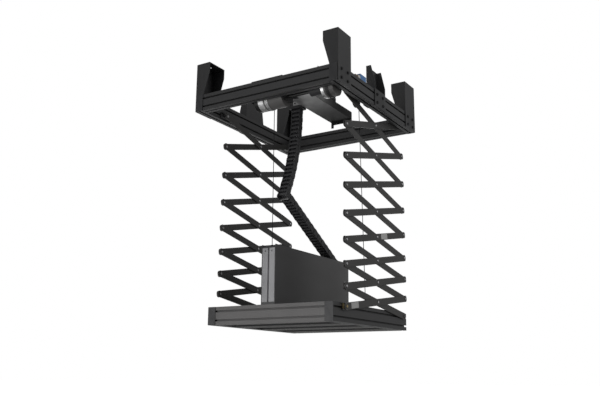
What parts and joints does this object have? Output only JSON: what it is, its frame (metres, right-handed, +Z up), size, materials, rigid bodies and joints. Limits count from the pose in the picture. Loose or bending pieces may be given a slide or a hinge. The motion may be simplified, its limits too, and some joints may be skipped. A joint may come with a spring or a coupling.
{
  "type": "projector lift",
  "caption": "Black ceiling lift for a projector: slotted-profile frame on brackets, twin scissor stacks, cable winch, energy chain and a lowered platform with a cable tray.",
  "frame": {"origin": "middle of the four ceiling holes, on the upper face of the ceiling flanges", "axes": "+Z up to the ceiling, +Y to the rear, where the energy chain ends, +X to the lift's right, the side with the terminal block"},
  "size_m": [0.7822, 0.812, 1.2351],
  "materials": {
    "black_profile": "satin powder coat on extruded aluminium",
    "black_sheet": "satin black powder coat on folded sheet",
    "black_steel_bar": "satin black paint on flat steel bar",
    "black_plastic": "moulded, slightly matte",
    "dark_steel": "blackened steel",
    "grey_metal": "plain zinc grey",
    "turned_aluminium": "turned, lightly brushed",
    "steel_cable": "bright stranded wire",
    "grey_profile": "grey satin powder coat on extruded aluminium",
    "light_post": "light grey powder coat on a slotted post",
    "brass_block": "milled, dull",
    "motor_casting": "ribbed casting, dark enamel",
    "blue_plastic": "moulded housing"
  },
  "bodies": {
    "upper_frame": {"top_front_beam": "black_profile", "top_rear_beam": "black_profile", "top_left_beam": "black_profile", "top_right_beam": "black_profile", "top_end_caps": "black_plastic", "corner_brackets_front": "black_sheet", "corner_brackets_rear": "black_sheet", "mid_brackets": "black_sheet", "bracket_screws": "dark_steel", "centre_channel": "grey_metal", "gearbox_housing": "black_sheet", "gearbox_foot": "black_sheet", "motor_body": "motor_casting", "motor_fan_cover": "black_plastic", "winch_bearing_plates": "black_sheet", "winch_hood": "black_sheet", "terminal_block": "blue_plastic", "pulley_bracket": "black_sheet", "top_slide_rails": "black_sheet", "top_pivot_pads": "grey_metal", "chain_top_bracket": "black_sheet", "energy_chain": "black_plastic", "lift_cable_front": "steel_cable", "lift_cable_side": "steel_cable", "side_cable_feed": "steel_cable"},
    "platform": {"platform_front_beam": "grey_profile", "platform_rear_beam": "grey_profile", "platform_left_beam": "black_profile", "platform_right_beam": "black_profile", "platform_end_caps": "black_plastic", "platform_slats": "grey_profile", "tray_left_plate": "black_sheet", "tray_right_plate": "black_sheet", "tray_base": "black_sheet", "tray_front_post": "light_post", "tray_post_cap": "black_plastic", "platform_scissor_mounts": "grey_metal", "cable_anchors": "black_sheet"},
    "winch_rotor": {"winch_drums": "dark_steel", "drum_flanges": "turned_aluminium", "winch_shaft": "turned_aluminium"},
    "side_pulley_wheel": {"side_pulley": "grey_metal"},
    "stage1_b": {"arm_b1": "black_steel_bar"},
    "stage1_a": {"arm_a1": "black_steel_bar"},
    "stage2_b": {"arm_b2": "black_steel_bar"},
    "stage2_a": {"arm_a2": "black_steel_bar"},
    "stage3_b": {"arm_b3": "black_steel_bar"},
    "stage3_a": {"arm_a3": "black_steel_bar"},
    "stage4_b": {"arm_b4": "black_steel_bar"},
    "stage4_a": {"arm_a4": "black_steel_bar"},
    "stage5_b": {"arm_b5": "black_steel_bar"},
    "stage5_a": {"arm_a5": "black_steel_bar"},
    "stage6_b": {"arm_b6": "black_steel_bar"},
    "stage6_a": {"arm_a6": "black_steel_bar"},
    "stage7_b": {"arm_b7": "black_steel_bar"},
    "stage7_a": {"arm_a7": "black_steel_bar"},
    "stage8_b": {"arm_b8": "black_steel_bar"},
    "stage8_a": {"arm_a8": "black_steel_bar"},
    "top_blocks": {"top_slide_blocks": "grey_metal"},
    "bottom_blocks": {"bottom_slide_blocks": "brass_block"}
  },
  "joints": [
    {"name": "lift", "type": "slide", "parent": "upper_frame", "child": "platform", "axis": [0, 0, 1], "range_m": [0, 0.61], "deforming": ["energy_chain", "lift_cable_front", "lift_cable_side"]},
    {"name": "stage1_rear_pivot", "type": "hinge", "parent": "upper_frame", "child": "stage1_b", "pos_m": [0, 0.3452, -0.219], "axis": [1, 0, 0], "range_deg": [-10.92, 0]},
    {"name": "stage1_crossing", "type": "hinge", "parent": "stage1_b", "child": "stage1_a", "pos_m": [0, 0.05697, -0.29623], "axis": [1, 0, 0], "range_deg": [0, 21.83]},
    {"name": "stage2_rear_pivot", "type": "hinge", "parent": "stage1_a", "child": "stage2_b", "pos_m": [0, 0.3452, -0.37346], "axis": [1, 0, 0], "range_deg": [-20.83, 0]},
    {"name": "stage2_crossing", "type": "hinge", "parent": "stage2_b", "child": "stage2_a", "pos_m": [0, 0.05566, -0.44565], "axis": [1, 0, 0], "range_deg": [0, 19.83]},
    {"name": "stage3_rear_pivot", "type": "hinge", "parent": "stage2_a", "child": "stage3_b", "pos_m": [0, 0.3452, -0.51784], "axis": [1, 0, 0], "range_deg": [-18.83, 0]},
    {"name": "stage3_crossing", "type": "hinge", "parent": "stage3_b", "child": "stage3_a", "pos_m": [0, 0.05445, -0.58497], "axis": [1, 0, 0], "range_deg": [0, 17.83]},
    {"name": "stage4_rear_pivot", "type": "hinge", "parent": "stage3_a", "child": "stage4_b", "pos_m": [0, 0.3452, -0.65209], "axis": [1, 0, 0], "range_deg": [-16.83, 0]},
    {"name": "stage4_crossing", "type": "hinge", "parent": "stage4_b", "child": "stage4_a", "pos_m": [0, 0.05332, -0.71413], "axis": [1, 0, 0], "range_deg": [0, 15.83]},
    {"name": "stage5_rear_pivot", "type": "hinge", "parent": "stage4_a", "child": "stage5_b", "pos_m": [0, 0.3452, -0.77617], "axis": [1, 0, 0], "range_deg": [-14.83, 0]},
    {"name": "stage5_crossing", "type": "hinge", "parent": "stage5_b", "child": "stage5_a", "pos_m": [0, 0.05228, -0.83311], "axis": [1, 0, 0], "range_deg": [0, 13.83]},
    {"name": "stage6_rear_pivot", "type": "hinge", "parent": "stage5_a", "child": "stage6_b", "pos_m": [0, 0.3452, -0.89005], "axis": [1, 0, 0], "range_deg": [-12.83, 0]},
    {"name": "stage6_crossing", "type": "hinge", "parent": "stage6_b", "child": "stage6_a", "pos_m": [0, 0.05133, -0.94187], "axis": [1, 0, 0], "range_deg": [0, 11.83]},
    {"name": "stage7_rear_pivot", "type": "hinge", "parent": "stage6_a", "child": "stage7_b", "pos_m": [0, 0.3452, -0.99368], "axis": [1, 0, 0], "range_deg": [-10.83, 0]},
    {"name": "stage7_crossing", "type": "hinge", "parent": "stage7_b", "child": "stage7_a", "pos_m": [0, 0.05047, -1.04036], "axis": [1, 0, 0], "range_deg": [0, 9.83]},
    {"name": "stage8_rear_pivot", "type": "hinge", "parent": "stage7_a", "child": "stage8_b", "pos_m": [0, 0.3452, -1.08704], "axis": [1, 0, 0], "range_deg": [-8.83, 0]},
    {"name": "stage8_crossing", "type": "hinge", "parent": "stage8_b", "child": "stage8_a", "pos_m": [0, 0.0497, -1.12857], "axis": [1, 0, 0], "range_deg": [0, 7.83]},
    {"name": "top_block_pin", "type": "hinge", "parent": "stage1_a", "child": "top_blocks", "pos_m": [0, -0.23126, -0.219], "axis": [1, 0, 0], "range_deg": [-10.92, 0]},
    {"name": "bottom_block_pin", "type": "hinge", "parent": "stage8_b", "child": "bottom_blocks", "pos_m": [0, -0.24579, -1.1701], "axis": [1, 0, 0], "range_deg": [0, 3.92]},
    {"name": "winch_turn", "type": "hinge", "parent": "upper_frame", "child": "winch_rotor", "pos_m": [0, -0.313, -0.2246], "axis": [1, 0, 0], "range_deg": [-747.62, 0]},
    {"name": "side_pulley_turn", "type": "hinge", "parent": "upper_frame", "child": "side_pulley_wheel", "pos_m": [0.289, -0.056, -0.20385], "axis": [1, 0, 0], "range_deg": [-1344.27, 0]}
  ],
  "couplings": [
    {"joint": "stage1_rear_pivot", "follows": "lift", "rad_per_m": -0.31196},
    {"joint": "stage1_crossing", "follows": "lift", "rad_per_m": 0.62392},
    {"joint": "stage2_rear_pivot", "follows": "lift", "rad_per_m": -0.59531},
    {"joint": "stage2_crossing", "follows": "lift", "rad_per_m": 0.56669},
    {"joint": "stage3_rear_pivot", "follows": "lift", "rad_per_m": -0.53808},
    {"joint": "stage3_crossing", "follows": "lift", "rad_per_m": 0.50947},
    {"joint": "stage4_rear_pivot", "follows": "lift", "rad_per_m": -0.48086},
    {"joint": "stage4_crossing", "follows": "lift", "rad_per_m": 0.45225},
    {"joint": "stage5_rear_pivot", "follows": "lift", "rad_per_m": -0.42363},
    {"joint": "stage5_crossing", "follows": "lift", "rad_per_m": 0.39502},
    {"joint": "stage6_rear_pivot", "follows": "lift", "rad_per_m": -0.36641},
    {"joint": "stage6_crossing", "follows": "lift", "rad_per_m": 0.3378},
    {"joint": "stage7_rear_pivot", "follows": "lift", "rad_per_m": -0.30919},
    {"joint": "stage7_crossing", "follows": "lift", "rad_per_m": 0.28057},
    {"joint": "stage8_rear_pivot", "follows": "lift", "rad_per_m": -0.25196},
    {"joint": "stage8_crossing", "follows": "lift", "rad_per_m": 0.22335},
    {"joint": "top_block_pin", "follows": "lift", "rad_per_m": -0.31196},
    {"joint": "bottom_block_pin", "follows": "lift", "rad_per_m": 0.11168},
    {"joint": "winch_turn", "follows": "lift", "rad_per_m": -21.39},
    {"joint": "side_pulley_turn", "follows": "lift", "rad_per_m": -38.462}
  ]
}
